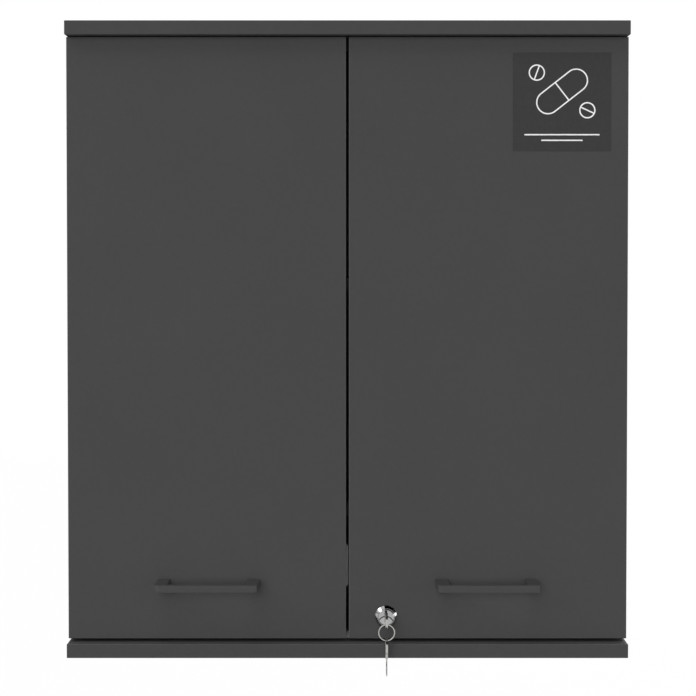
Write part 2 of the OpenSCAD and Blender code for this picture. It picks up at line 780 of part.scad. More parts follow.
module catch_screw() translate([-magnet_x, door_back_y + catch_plate_t, magnet_z])
    rotate([-90, 0, 0]) flush_screw(catch_plate_screw, catch_plate_screw_l);

module left_catch_plate() color(metal_colour) catch_plate();
module right_catch_plate() color(metal_colour) mirrored() catch_plate();
module left_catch_screw() color(metal_colour) catch_screw();
module right_catch_screw() color(metal_colour) mirrored() catch_screw();

module magnet(grow = 0) both_sides() translate([magnet_x, magnet_front_y, magnet_z])
    block([-magnet_w / 2 - grow, 0, -magnet_h / 2 - grow],
        [magnet_w / 2 + grow, magnet_out + magnet_l + grow, magnet_h / 2 + grow]);

module magnetic_catch() color(plastic_colour) difference() {
    block([-catch_w / 2, catch_front_y, top_under_z - catch_h],
        [catch_w / 2, catch_front_y + catch_depth, top_under_z]);
    translate([0, -eps, 0]) magnet(fit_gap);
    for (x = [-catch_screw_x, catch_screw_x]) translate([x, catch_front_y + catch_depth / 2, 0])
        screw_hole(catch_screw, top_under_z - catch_h - 1, top_under_z + 1);
}

module catch_magnets() color(metal_colour) magnet();

module catch_screws() color(metal_colour) for (x = [-catch_screw_x, catch_screw_x])
    translate([x, catch_front_y + catch_depth / 2, top_under_z - catch_h]) rotate([180, 0, 0])
        pan_screw(catch_screw, catch_h + catch_screw_in);

module door_stop() color(latch_colour) difference() {
    translate([0, stop_mid_y, floor_z])
        bevelled_block([-stop_w / 2, -stop_depth / 2, 0], [stop_w / 2, stop_depth / 2, stop_h],
            stop_bevel);
    for (x = [-stop_screw_x, stop_screw_x]) translate([x, stop_mid_y, floor_z + stop_h])
        flush_hole(stop_screw, stop_h);
}

module door_stop_screws() color(metal_colour) for (x = [-stop_screw_x, stop_screw_x])
    translate([x, stop_mid_y, floor_z + stop_h]) flush_screw(stop_screw, stop_h + stop_screw_in);

// Turn latch that holds the left door behind the right one
module turn_latch() color(latch_colour) difference() {
    translate([latch_x, 0, latch_z]) union() {
        translate([-latch_w / 2, latch_back_y, -latch_l / 2]) rotate([90, 0, 0])
            linear_extrude(latch_t) bevelled_rect(latch_w, latch_l, 2);
        translate([0, latch_back_y, -latch_l / 2 + 5])
            block([-latch_w / 2 + 2, -eps, -grip_t / 2], [latch_w / 2 - 2, grip_h, grip_t / 2]);
    }
    translate([latch_x, 0, latch_z])
        y_rod(latch_screw[2] / 2 + running_gap, latch_front_y - 1, latch_back_y + 1);
}

module latch_pivot() color(metal_colour)
    translate([latch_x, latch_back_y + latch_screw_play, latch_z]) rotate([-90, 0, 0])
        pan_screw(latch_screw, latch_t + latch_screw_play + face_gap + latch_screw_in);

// Lock: places are from the axis of the plug, at the back face of the right door
module at_lock() translate([lock_x, door_back_y, lock_z]) children();

module case_screw_places() at_lock() for (x = [-case_screw_x, case_screw_x], z = case_screw_zs)
    translate([x, case_depth, z]) rotate([-90, 0, 0]) children();

module lock_case() color(metal_colour) difference() {
    at_lock() difference() {
        block([-case_half_w, 0, case_low], [case_half_w, case_depth, case_high]);
        block([-bolt_half_w - slide_gap, -eps, case_low + case_wall],
            [bolt_half_w + slide_gap, case_depth - case_wall, bolt_top + 2.5]);
        block([-bolt_nose_w / 2 - slide_gap, bolt_front - slide_gap, case_low - 1],
            [bolt_nose_w / 2 + slide_gap, bolt_back + slide_gap, case_low + case_wall + eps]);
    }
    case_screw_places() screw_hole(case_screw, -case_depth - 1, 1);
}

module lock_case_screws() color(metal_colour) case_screw_places()
    pan_screw(case_screw, case_depth + case_screw_in);

module lock_cylinder() color(chrome_colour) translate([lock_x, 0, lock_z]) difference() {
    union() {
        y_rod(cylinder_d / 2, door_front_y - rosette_h + nose_bevel, door_back_y);
        translate([0, door_front_y - rosette_h + nose_bevel, 0]) rotate([90, 0, 0])
            cylinder(r1 = cylinder_d / 2, r2 = cylinder_d / 2 - nose_bevel, h = nose_bevel);
    }
    y_rod(plug_d / 2 + running_gap, door_front_y - rosette_h - 1, door_back_y + 1);
}

module lock_rosette() color(chrome_colour)
    translate([lock_x, door_front_y, lock_z]) rotate([90, 0, 0]) rotate_extrude()
        polygon([[cylinder_d / 2, 0], [rosette_d / 2, 0], [rosette_d / 2, rosette_rim],
            [cylinder_d / 2 + 0.3, rosette_top], [cylinder_d / 2, rosette_top]]);

module lock_plug() color(chrome_colour) translate([lock_x, 0, lock_z]) difference() {
    union() {
        y_rod(plug_d / 2, plug_front_y + plug_lip - eps, door_back_y + face_gap);
        y_rod(plug_face_d / 2, plug_front_y, plug_front_y + plug_lip);
    }
    block([-blade_t / 2 - keyway_side, plug_front_y - 1, -blade_w / 2 - keyway_side],
        [blade_t / 2 + keyway_side, plug_front_y + keyway_depth, blade_w / 2 + keyway_side]);
    translate([0, door_back_y + face_gap, 0]) rotate([-90, 0, 0])
        screw_hole(plug_screw, -plug_screw_in - 0.5, eps);
}

module bolt_driver() color(metal_colour) at_lock() {
    difference() {
        y_rod(driver_r, face_gap, face_gap + driver_t);
        translate([0, face_gap + driver_t, 0]) rotate([-90, 0, 0]) flush_hole(plug_screw, driver_t);
    }
    translate([driver_pin_at, 0, driver_pin_at])
        y_rod(driver_pin_d / 2, face_gap + driver_t, bolt_back - 0.2);
}

module driver_screw() color(metal_colour) at_lock()
    translate([0, face_gap + driver_t, 0]) rotate([-90, 0, 0])
        flush_screw(plug_screw, driver_t + plug_screw_in);

module lock_bolt() color(metal_colour) at_lock() difference() {
    union() {
        block([-bolt_half_w, bolt_front, bolt_shoulder], [bolt_half_w, bolt_back, bolt_top]);
        block([-bolt_nose_w / 2, bolt_front, bolt_tip],
            [bolt_nose_w / 2, bolt_back, bolt_shoulder + eps]);
    }
    block([slot_from, bolt_front - 1, driver_pin_at - slot_half],
        [slot_to, bolt_back + 1, driver_pin_at + slot_half]);
}

module strike_plate() color(metal_colour) difference() {
    translate([lock_x, 0, floor_z])
        block([-strike_half_w, door_back_y + strike_from_door, 0],
            [strike_half_w, door_back_y + strike_depth, strike_t]);
    bolt_pocket(floor_z - 1, floor_z + strike_t + 1);
    strike_screw_places() translate([0, 0, strike_t]) flush_hole(strike_screw, strike_t);
}

module strike_screws() color(metal_colour) strike_screw_places()
    translate([0, 0, strike_t]) flush_screw(strike_screw, strike_screw_l);

// Key with its length along X from the end of the bow, and its width along Y
module key_shape() {
    bow_r = key_bow_d / 2;
    shoulder = key_l - blade_l;
    difference() {
        union() {
            translate([bow_r, 0, 0]) z_rod(bow_r, -key_t / 2, key_t / 2);
            block([bow_r, -key_neck_w / 2, -key_t / 2], [shoulder, key_neck_w / 2, key_t / 2]);
            translate([0, 0, -blade_t / 2]) linear_extrude(blade_t) blade_outline(shoulder);
        }
        translate([key_hole_in, 0, 0]) z_rod(key_hole_d / 2, -key_t, key_t);
        for (turn = [0, 180]) rotate([turn, 0, 0]) translate([0, blade_groove_off, 0])
            block([shoulder - 1, -blade_groove_w / 2, blade_t / 2 - blade_groove_depth],
                [key_l + 1, blade_groove_w / 2, key_t]);
    }
}

// Blade with a point at its tip and five cuts along one edge
module blade_outline(shoulder) {
    half = blade_w / 2;
    cut_pitch = blade_l / 7;
    cut_depths = [1.2, 2, 0.8, 1.6, 1.2];
    difference() {
        polygon([[shoulder - 1, -half], [key_l - 2, -half], [key_l, -half + 2.4], [key_l, half - 2.4],
            [key_l - 2, half], [shoulder - 1, half]]);
        for (i = [0 : len(cut_depths) - 1]) {
            x = shoulder + (i + 1.3) * cut_pitch;
            polygon([[x - 1.1, -half - eps], [x + 1.1, -half - eps], [x + 0.3, -half + cut_depths[i]],
                [x - 0.3, -half + cut_depths[i]]]);
        }
    }
}

module door_key() color(chrome_colour) translate([lock_x, key_end_y, lock_z])
    rotate([90, 0, 90]) key_shape();

module key_ring() color(chrome_colour) translate([lock_x, key_hole_y, ring_z])
    rotate([90, 0, 0]) rotate_extrude() translate([ring_r, 0]) circle(ring_wire / 2);

module spare_key() color(chrome_colour)
    translate([lock_x, key_hole_y, spare_hole_z + key_hole_in]) rotate([0, 90, 0]) key_shape();

module door_label() color(label_colour)
    translate([door_outer_x - label_side_in, door_front_y, door_top_z - label_top_in])
        block([-label_w, -label_t, -label_w], [0, 0, 0]);

top_panel();
bottom_panel();
left_side();
right_side();
back_panel();
hanging_rail();
upper_shelf();
lower_shelf();
shelf_pins();
cam_housings();
cam_bolts();
wood_dowels();
left_hinge_arms();
right_hinge_arms();
left_hinge_plates();
right_hinge_plates();
left_plate_screws();
right_plate_screws();
left_arm_screws();
right_arm_screws();
strike_plate();
strike_screws();
magnetic_catch();
catch_magnets();
catch_screws();
door_stop();
door_stop_screws();
left_door();
left_handle();
left_handle_screws();
left_hinge_cups();
left_hinge_pins();
left_cup_screws();
left_catch_plate();
left_catch_screw();
latch_pivot();
turn_latch();
right_door();
right_handle();
right_handle_screws();
right_hinge_cups();
right_hinge_pins();
right_cup_screws();
right_catch_plate();
right_catch_screw();
door_label();
lock_case();
lock_case_screws();
lock_cylinder();
lock_rosette();
lock_plug();
bolt_driver();
driver_screw();
lock_bolt();
door_key();
key_ring();
spare_key();
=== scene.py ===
"""Looks of a lockable wall cabinet for medicines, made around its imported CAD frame.

Every piece is in metres in the frame of the CAD: X to the right, Y towards the wall, Z up.
"""

import json
import math

import bmesh
import bpy
from bpy.props import FloatProperty, FloatVectorProperty, IntProperty, PointerProperty
from mathutils import Matrix, Vector


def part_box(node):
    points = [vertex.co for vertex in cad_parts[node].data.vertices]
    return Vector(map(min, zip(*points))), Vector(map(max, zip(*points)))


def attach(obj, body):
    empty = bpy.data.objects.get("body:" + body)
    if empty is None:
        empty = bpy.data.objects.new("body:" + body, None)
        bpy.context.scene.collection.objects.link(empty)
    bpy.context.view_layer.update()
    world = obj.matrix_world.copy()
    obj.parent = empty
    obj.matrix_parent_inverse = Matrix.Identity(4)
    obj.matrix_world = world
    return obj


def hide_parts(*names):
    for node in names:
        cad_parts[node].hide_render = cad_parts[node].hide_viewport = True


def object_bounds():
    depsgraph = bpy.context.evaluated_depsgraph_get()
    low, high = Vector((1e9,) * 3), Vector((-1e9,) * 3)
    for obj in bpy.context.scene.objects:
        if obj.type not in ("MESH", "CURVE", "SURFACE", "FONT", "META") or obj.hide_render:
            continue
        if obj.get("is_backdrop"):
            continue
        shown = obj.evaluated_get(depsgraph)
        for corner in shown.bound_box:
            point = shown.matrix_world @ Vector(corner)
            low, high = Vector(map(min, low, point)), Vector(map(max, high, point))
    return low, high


bl_info = {
    "name": "Medicine Cabinet",
    "version": (1, 0, 0),
    "blender": (4, 5, 0),
    "location": "View3D > Sidebar > Cabinet",
    "description": "Finishes, fittings, label and studio for a lockable wall cabinet",
    "category": "Object",
}

MM = 0.001
SHARP_ANGLE = math.radians(35)  # edges over this stay sharp, or are rounded
FLAT_ANGLE = math.radians(0.5)  # CAD faces that differ by less are one face
WELD = 0.002 * MM  # points of a CAD mesh that are nearer than this are one point
NOISE_LOW, NOISE_HIGH = 0.3, 0.7  # range that holds most of a noise texture

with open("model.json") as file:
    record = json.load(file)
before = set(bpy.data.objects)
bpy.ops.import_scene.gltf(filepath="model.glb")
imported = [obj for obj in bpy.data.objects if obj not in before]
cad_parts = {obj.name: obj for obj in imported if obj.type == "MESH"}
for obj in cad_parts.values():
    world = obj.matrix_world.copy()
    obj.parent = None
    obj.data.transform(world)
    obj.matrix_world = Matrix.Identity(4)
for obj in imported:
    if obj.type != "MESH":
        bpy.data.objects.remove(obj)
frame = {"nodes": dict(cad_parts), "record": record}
CAD_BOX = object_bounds()
NODES = frame["nodes"]
BODY_OF = {n: b for b, ns in frame["record"]["behaviour"]["bodies"].items() for n in ns}

BOARDS = ["top_panel", "bottom_panel", "left_side", "right_side", "hanging_rail",
          "upper_shelf", "lower_shelf", "left_door", "right_door"]
FLUSH_SCREWS = ["strike_screws", "door_stop_screws", "left_catch_screw", "right_catch_screw",
                "driver_screw"]
PAN_SCREWS = ["left_plate_screws", "right_plate_screws", "left_arm_screws", "right_arm_screws",
              "catch_screws", "left_handle_screws", "right_handle_screws", "left_cup_screws",
              "right_cup_screws", "lock_case_screws", "latch_pivot"]


def middle(node):
    low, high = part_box(node)
    return (low + high) / 2


def colour_prop(name, description, default):
    return FloatVectorProperty(name=name, description=description, default=default, size=3,
                               subtype="COLOR", min=0.0, max=1.0)


def length_prop(name, description, default):
    return FloatProperty(name=name, description=description, default=default, subtype="DISTANCE",
                         unit="LENGTH", precision=5)


class CabinetColours(bpy.types.PropertyGroup):
    """Colours of the finishes, in linear light."""

    board: colour_prop("Board", "Melamine coat of the boards", (0.0602, 0.0602, 0.0602))
    back: colour_prop("Back", "Lacquer of the back panel", (0.066, 0.066, 0.067))
    handle: colour_prop("Handle", "Powder coat of the handles", (0.047, 0.047, 0.0475))
    label: colour_prop("Label", "Film of the label", (0.0445, 0.0445, 0.0445))
    label_print: colour_prop("Label print", "Lines on the label", (0.88, 0.88, 0.88))
    chrome: colour_prop("Chrome", "Rosette, cylinder and plug of the lock", (0.40, 0.405, 0.403))
    nickel: colour_prop("Nickel", "Keys and their ring", (0.45, 0.442, 0.43))
    steel: colour_prop("Steel", "Hinges, screws and plates", (0.60, 0.60, 0.61))
    zinc: colour_prop("Zinc", "Cams and magnet poles", (0.50, 0.50, 0.51))
    plastic: colour_prop("Plastic", "Magnetic catch", (0.008, 0.008, 0.008))
    latch: colour_prop("Latch", "Turn latch", (0.33, 0.33, 0.33))
    # The stop is the same plastic as the latch, painted darker to cancel the extra light it gets
    # through the gap under the doors (painted shade).
    stop: colour_prop("Stop", "Door stop", (0.24, 0.24, 0.24))
    beech: colour_prop("Beech", "Dowels", (0.53, 0.36, 0.19))


class CabinetSizes(bpy.types.PropertyGroup):
    """Roundings, the pale line along the bands with its painted highlight, printed lines, and steps
    that a user would change.
    """

    handle_round: length_prop("Handle rounding", "Radius along the handles' edges", 0.9 * MM)
    metal_round: length_prop("Metal rounding", "Radius along stamped edges", 0.25 * MM)
    key_round: length_prop("Key rounding", "Radius along the keys' edges", 0.22 * MM)
    plastic_round: length_prop("Plastic rounding", "Radius along moulded edges", 0.5 * MM)
    # The pale line along a band is partly the band's trimmed joint and partly a painted highlight
    # along the edge bevel.
    joint_highlight_in: length_prop("Band joint", "Distance from the edge to the pale line along a band",
                          0.6 * MM)
    joint_highlight_w: length_prop("Joint width", "Fade to each side of the pale line along a band",
                         0.55 * MM)
    print_w: length_prop("Print width", "Width of the lines on the label", 1.4 * MM)
    ring_turns: IntProperty(name="Ring turns", description="Turns of the key ring's wire",
                            default=2, min=1, max=3)
    round_steps: IntProperty(name="Turned steps", description="Sides of turned pieces",
                             default=96, min=24, max=192)


class CabinetStudio(bpy.types.PropertyGroup):
    """Camera and lamps."""

    camera_x: length_prop("Camera side", "X of the camera", 0.0006)
    camera_y: length_prop("Camera place", "Y of the camera", -1.767)
    camera_z: length_prop("Camera height", "Z of the camera", -0.197)
    tilt: FloatProperty(name="Tilt", description="Downward tilt of the camera",
                        default=math.radians(1.28), subtype="ANGLE", unit="ROTATION")
    lens: FloatProperty(name="Lens", description="Focal length in millimetres", default=74.94,
                        unit="CAMERA")
    shift_y: FloatProperty(name="Shift", description="Vertical lens shift", default=-0.0754)
    ambient: FloatProperty(name="Ambient", description="Strength of the even light", default=0.27)
    key_light: FloatProperty(name="Key light", description="Strength of the front light",
                             default=1.75)
    top_light: FloatProperty(name="Top light", description="Strength of the light above",
                             default=1.05)
    side_light: FloatProperty(name="Side lights", description="Strength of the side lights",
                              default=0.6)
    back_light: FloatProperty(name="Back light", description="Strength of the light behind",
                              default=1.2)
    floor_z: length_prop("Floor height", "Z of the floor under the hung cabinet", -1.60)


class Finish:
    """One material whose textures read Object coordinates."""

    def __init__(self, name, colour, roughness, metallic=0.0, **sockets):
        self.material = bpy.data.materials.new(name)
        self.material.use_nodes = True
        self.material.diffuse_color = (*colour, 1.0)
        self.tree = self.material.node_tree
        self.shader = self.tree.nodes["Principled BSDF"]
        self.place = self.node("ShaderNodeTexCoord").outputs["Object"]
        self.colour = tuple(colour)
        self.set("Base Color", (*colour, 1.0))
        self.set("Roughness", roughness)
        self.set("Metallic", metallic)
        for socket, value in sockets.items():
            self.set(socket.replace("_", " "), value)

    def set(self, socket, value):
        self.join(self.shader.inputs[socket], value)

    def join(self, socket, value):
        if isinstance(value, bpy.types.NodeSocket):
            self.tree.links.new(value, socket)
        elif value is not None:
            socket.default_value = value

    def node(self, kind, values=(), **settings):
        made = self.tree.nodes.new(kind)
        for key, value in settings.items():
            setattr(made, key, value)
        for socket, value in dict(values).items():
            self.join(made.inputs[socket], value)
        return made

    def math(self, operation, a, b=None, c=None):
        return self.node("ShaderNodeMath", {0: a, 1: b, 2: c}, operation=operation).outputs[0]

    def least(self, values):
        found = values[0]
        for value in values[1:]:
            found = self.math("MINIMUM", found, value)
        return found

    def stretched(self, scale):
        """Coordinates in which a pattern is drawn out along the axis whose scale is smallest."""
        return self.node("ShaderNodeMapping", {"Vector": self.place, "Scale": scale}).outputs[0]

    def noise(self, scale, detail=2.0, rough=0.5, at=None):
        return self.node("ShaderNodeTexNoise",
                         {"Vector": at or self.place, "Scale": scale, "Detail": detail,
                          "Roughness": rough}).outputs[0]

    def remap(self, value, low, high, to_low=0.0, to_high=1.0, smooth=False):
        kind = "SMOOTHSTEP" if smooth else "LINEAR"
        return self.node("ShaderNodeMapRange", {0: value, 1: low, 2: high, 3: to_low, 4: to_high},
                         interpolation_type=kind).outputs[0]

    def spread(self, noise, to_low=0.0, to_high=1.0):
        """Noise, stretched from the range that holds most of it."""
        return self.remap(noise, NOISE_LOW, NOISE_HIGH, to_low, to_high)

    def tint(self, factor, low, high):
        """Colour between low and high, each a colour or a socket."""
        low, high = [v if isinstance(v, bpy.types.NodeSocket) else (*v, 1.0) for v in (low, high)]
        mix = self.node("ShaderNodeMix", {0: factor, 6: low, 7: high}, data_type="RGBA")
        return mix.outputs[2]

    def shade(self, factor, amount):
        """The finish's own colour, darker or lighter by up to amount where factor is 0 or 1."""
        return self.tint(factor, [c * (1 - amount) for c in self.colour],
                         [min(1.0, c * (1 + amount)) for c in self.colour])

    def bump(self, height, strength, distance):
        made = self.node("ShaderNodeBump", {"Strength": strength, "Distance": distance,
                                            "Height": height})
        self.set("Normal", made.outputs[0])

    def axes(self):
        return self.node("ShaderNodeSeparateXYZ", {0: self.place}).outputs


# Tone and share of the pale band line: partly the band's trimmed joint, partly a painted highlight
# along the edge bevel.
JOINT_HIGHLIGHT_TONE = 1.7  # the pale line along a band, against the board's own colour
JOINT_HIGHLIGHT_SHARE = 0.6  # how much of that tone shows


def melamine(node, colour, sizes):
    """Matt board coat with a fine pore grain, and a pale line where the edge bands meet it, partly
    the band's trimmed joint and partly a painted highlight along the edge bevel.
    """
    finish = Finish("melamine_" + node, colour, 0.7, Specular_IOR_Level=0.2)
    pores = finish.noise(1500, detail=3, rough=0.62)
    cloud = finish.noise(9, detail=2)
    speck = finish.noise(520, detail=2, rough=0.7)
    mixed = finish.math("MULTIPLY_ADD", speck, 0.6, finish.math("MULTIPLY", cloud, 0.4))
    tone = finish.shade(finish.spread(mixed), 0.05)
    low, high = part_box(node)
    middles, halves = (low + high) / 2, (high - low) / 2
    flat = min(range(3), key=lambda i: halves[i])
    axes = finish.axes()
    ins = []
    for i in range(3):
        if i != flat:
            from_middle = finish.math("ABSOLUTE", finish.math("SUBTRACT", axes[i], middles[i]))
            ins.append(finish.math("SUBTRACT", halves[i], from_middle))
    inward = finish.least(ins)
    off = finish.math("ABSOLUTE", finish.math("SUBTRACT", inward, sizes.joint_highlight_in))
    # Mask of the pale line: the band's trimmed joint plus a painted highlight along the edge bevel;
    # it also cuts a fine groove in the bump.
    joint_highlight = finish.remap(off, 0.0, sizes.joint_highlight_w, 1.0, 0.0, smooth=True)
    # Painted highlight along the edge bevel, laid on the band's pale joint line.
    pale = [c * JOINT_HIGHLIGHT_TONE for c in colour]
    finish.set("Base Color", finish.tint(finish.math("MULTIPLY", joint_highlight, JOINT_HIGHLIGHT_SHARE), tone, pale))
    finish.set("Roughness", finish.spread(finish.noise(160, detail=3), 0.64, 0.76))
    finish.bump(finish.math("SUBTRACT", pores, joint_highlight), strength=0.22, distance=0.12 * MM)
    return finish.material


def hardboard(colours):
    """Lacquered fibre board with a faint mottle."""
    finish = Finish("lacquered_hardboard", colours.back, 0.5, Specular_IOR_Level=0.35)
    mottle = finish.noise(140, detail=5, rough=0.68)
    fibre = finish.noise(900, detail=3, rough=0.7, at=finish.stretched((1, 1, 0.25)))
    finish.set("Base Color", finish.shade(finish.spread(mottle), 0.09))
    finish.set("Roughness", finish.spread(mottle, 0.42, 0.6))
    finish.bump(finish.math("MULTIPLY_ADD", fibre, 0.6, mottle), strength=0.3, distance=0.1 * MM)
    return finish.material


def powder_coat(colours):
    """Satin powder coat with its fine orange peel."""
    finish = Finish("satin_powder_coat", colours.handle, 0.55, Specular_IOR_Level=0.35)
    peel = finish.noise(1300, detail=2, rough=0.55)
    finish.set("Base Color", finish.shade(finish.spread(finish.noise(60, detail=3)), 0.05))
    finish.set("Roughness", finish.spread(peel, 0.48, 0.6))
    finish.bump(peel, strength=0.2, distance=0.08 * MM)
    return finish.material


def plated(name, colour, roughness, stretch=(1, 1, 1), grain=900, depth=0.1):
    """Bare or plated metal, with brush lines along the axis whose stretch is smallest."""
    finish = Finish(name, colour, roughness, metallic=1.0)
    lines = finish.noise(grain, detail=4, rough=0.65, at=finish.stretched(stretch))
    patches = finish.noise(70, detail=3, rough=0.6)
    finish.set("Base Color", finish.shade(finish.spread(patches), 0.06))
    mixed = finish.math("MULTIPLY_ADD", patches, 0.5, finish.math("MULTIPLY", lines, 0.5))
    finish.set("Roughness", finish.spread(mixed, roughness * 0.7, roughness * 1.35))
    finish.bump(lines, strength=depth, distance=0.03 * MM)
    return finish.material


def moulded(name, colour, shine=0.4):
    """Moulded plastic with a spark-eroded texture."""
    finish = Finish(name, colour, 0.45, Specular_IOR_Level=shine)
    grain = finish.noise(1700, detail=3, rough=0.6)
    finish.set("Base Color", finish.shade(finish.spread(finish.noise(45, detail=2)), 0.08))
    finish.set("Roughness", finish.spread(grain, 0.37, 0.55))
    finish.bump(grain, strength=0.3, distance=0.1 * MM)
    return finish.material


def turned_wood(colours):
    """Bare beech with its growth lines along the dowels and short dark flecks."""
    finish = Finish("bare_beech", colours.beech, 0.6, Specular_IOR_Level=0.3)
    lines = finish.noise(420, detail=4, rough=0.6, at=finish.stretched((1, 1, 0.06)))
    flecks = finish.noise(1500, detail=1, rough=0.4, at=finish.stretched((1, 1, 0.2)))
    tone = finish.shade(finish.spread(lines), 0.2)
    dark = finish.remap(flecks, 0.62, 0.72, 0.0, 0.6)
    finish.set("Base Color", finish.tint(dark, tone, [c * 0.5 for c in colours.beech]))
    finish.bump(lines, strength=0.25, distance=0.08 * MM)
    return finish.material


def label_film(colours, sizes):
    """Satin film printed with plain outlines of a capsule and two tablets over two rules."""
    finish = Finish("label_film", colours.label, 0.55, Specular_IOR_Level=0.12)
    centre = middle("door_label")
    axes = finish.axes()
    across = finish.math("SUBTRACT", axes[0], centre.x)
    up = finish.math("SUBTRACT", axes[2], centre.z)
    half_line = sizes.print_w / 2

    def outline(distance):
        return finish.math("SUBTRACT", finish.math("ABSOLUTE", distance), half_line)

    def seen_from(x, z, angle):
        """Coordinates along and across a line that leaves a point at that angle."""
        dx, dz = finish.math("SUBTRACT", across, x), finish.math("SUBTRACT", up, z)
        cos, sin = math.cos(angle), math.sin(angle)
        along = finish.math("MULTIPLY_ADD", dx, cos, finish.math("MULTIPLY", dz, sin))
        aside = finish.math("MULTIPLY_ADD", dz, cos, finish.math("MULTIPLY", dx, -sin))
        return along, aside

    def pill(x, z, angle, half_length, radius):
        """Outline of a capsule or tablet, and the line across its middle."""
        along, aside = seen_from(x, z, angle)
        past = finish.math("MAXIMUM", finish.math(
            "SUBTRACT", finish.math("ABSOLUTE", along), half_length), 0.0)
        squares = finish.math("MULTIPLY_ADD", past, past, finish.math("MULTIPLY", aside, aside))
        distance = finish.math("SUBTRACT", finish.math("SQRT", squares), radius)
        score = finish.math("MAXIMUM", outline(along), distance)
        return [outline(distance), score]

    def rule(half_length, drop):
        """Level line under the middle of the label."""
        side = finish.math("SUBTRACT", finish.math("ABSOLUTE", across), half_length)
        return finish.math("MAXIMUM", side, outline(finish.math("ADD", up, drop)))

    tablet = {"half_length": 0.0, "radius": 8 * MM}
    shapes = [
        *pill(x=0.0, z=11 * MM, angle=math.radians(38), half_length=19 * MM, radius=12 * MM),
        *pill(x=-27 * MM, z=31 * MM, angle=math.radians(-20), **tablet),
        *pill(x=27 * MM, z=-9 * MM, angle=math.radians(65), **tablet),
        rule(half_length=40 * MM, drop=35 * MM),
        rule(half_length=22 * MM, drop=41 * MM),
    ]
    blur = 0.12 * MM
    printed = finish.remap(finish.least(shapes), -blur, blur, 1.0, 0.0, smooth=True)
    film = finish.shade(finish.spread(finish.noise(300, detail=3)), 0.05)
    finish.set("Base Color", finish.tint(printed, film, colours.label_print))
    finish.set("Roughness", finish.spread(finish.noise(90, detail=3), 0.5, 0.62))
    finish.bump(finish.noise(700, detail=2), strength=0.08, distance=0.05 * MM)
    return finish.material


def paint(piece, material):
    """Gives every material slot of a piece that finish."""
    if not piece.data.materials:
        piece.data.materials.append(material)
    for slot in piece.material_slots:
        slot.link = "OBJECT"
        slot.material = material


def fixed(piece, node, material):
    """Paints a piece that stands for a CAD node, and hands it to the node's body."""
    paint(piece, material)
    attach(piece, BODY_OF[node])
    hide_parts(node)


def mesh_of(name, bm):
    """Mesh with what was built in bm, which is freed."""
    mesh = bpy.data.meshes.new(name)
    bm.to_mesh(mesh)
    bm.free()
    return mesh


def new_piece(name, mesh):
    piece = bpy.data.objects.new(name, mesh)
    bpy.context.scene.collection.objects.link(piece)
    return piece


def plain(piece, sharp=SHARP_ANGLE):
    """Turns a piece's modifiers into mesh, smooth but for the edges over the sharp angle."""
    bpy.context.view_layer.update()
    graph = bpy.context.evaluated_depsgraph_get()
    mesh = bpy.data.meshes.new_from_object(piece.evaluated_get(graph), depsgraph=graph)
    piece.modifiers.clear()
    piece.data = mesh
    mesh.name = piece.name
    mesh.polygons.foreach_set("use_smooth", [True] * len(mesh.polygons))
    mesh.set_sharp_from_angle(angle=sharp)
    return piece


def welded(node):
    """Copy of a CAD node's mesh whose triangles share their corners."""
    bm = bmesh.new()
    bm.from_mesh(NODES[node].data)
    bmesh.ops.remove_doubles(bm, verts=bm.verts, dist=WELD)
    return bm


def merged(node):
    """Welded copy of a CAD node's mesh, with the triangles of each flat face joined."""
    bm = welded(node)
    bmesh.ops.dissolve_limit(bm, angle_limit=FLAT_ANGLE, verts=bm.verts, edges=bm.edges)
    return bm


def rounded(name, node, width, segments=2):
    """Copy of a CAD node with its edges rounded."""
    piece = new_piece(name, mesh_of(name, merged(node)))
    bevel = piece.modifiers.new("round", "BEVEL")
    bevel.width, bevel.segments = width, segments
    bevel.limit_method, bevel.angle_limit = "ANGLE", SHARP_ANGLE
    plain(piece)
    weigh = piece.modifiers.new("weigh", "WEIGHTED_NORMAL")
    weigh.keep_sharp = True
    return plain(piece)


def turned(name, profile, centre, steps, axis=(0, -1, 0)):
    """Solid turned about an axis from a closed profile of (radius, height) points."""
    bm = bmesh.new()
    upright = Vector(axis).to_track_quat("Z", "Y").to_matrix().to_4x4()
    place = Matrix.Translation(centre) @ upright
    rings = []
    for radius, height in profile:
        if radius == 0:
            rings.append([bm.verts.new(place @ Vector((0, 0, height)))] * steps)
            continue
        rings.append([bm.verts.new(place @ Vector((
            radius * math.cos(2 * math.pi * i / steps), radius * math.sin(2 * math.pi * i / steps),
            height))) for i in range(steps)])
    for a, b in zip(rings, rings[1:] + rings[:1]):
        for i in range(steps):
            corners = [a[i], a[(i + 1) % steps], b[(i + 1) % steps], b[i]]
            corners = [v for k, v in enumerate(corners) if v not in corners[:k]]
            if len(corners) > 2:
                bm.faces.new(corners)
    bmesh.ops.recalc_face_normals(bm, faces=bm.faces)
    return new_piece(name, mesh_of(name, bm))


ALMOST_HALF = 0.49


def filleted(points, steps=5):
    """Closed profile whose corners, each (radius, height, rounding), are rounded.

    A rounding takes a little less than half of each of its two sides at most.
    """
    out = []
    for i, (r, h, rounding) in enumerate(points):
        here = Vector((r, h))
        before = Vector(points[i - 1][:2]) - here
        after = Vector(points[(i + 1) % len(points)][:2]) - here
        if rounding <= 0:
            out.append((r, h))
            continue
        reach = min(rounding, *(side.length * ALMOST_HALF for side in (before, after)))
        start, end = here + before.normalized() * reach, here + after.normalized() * reach
        for k in range(steps + 1):
            t = k / steps
            p = start * (1 - t) ** 2 + here * 2 * t * (1 - t) + end * t ** 2
            out.append((p.x, p.y))
    return out


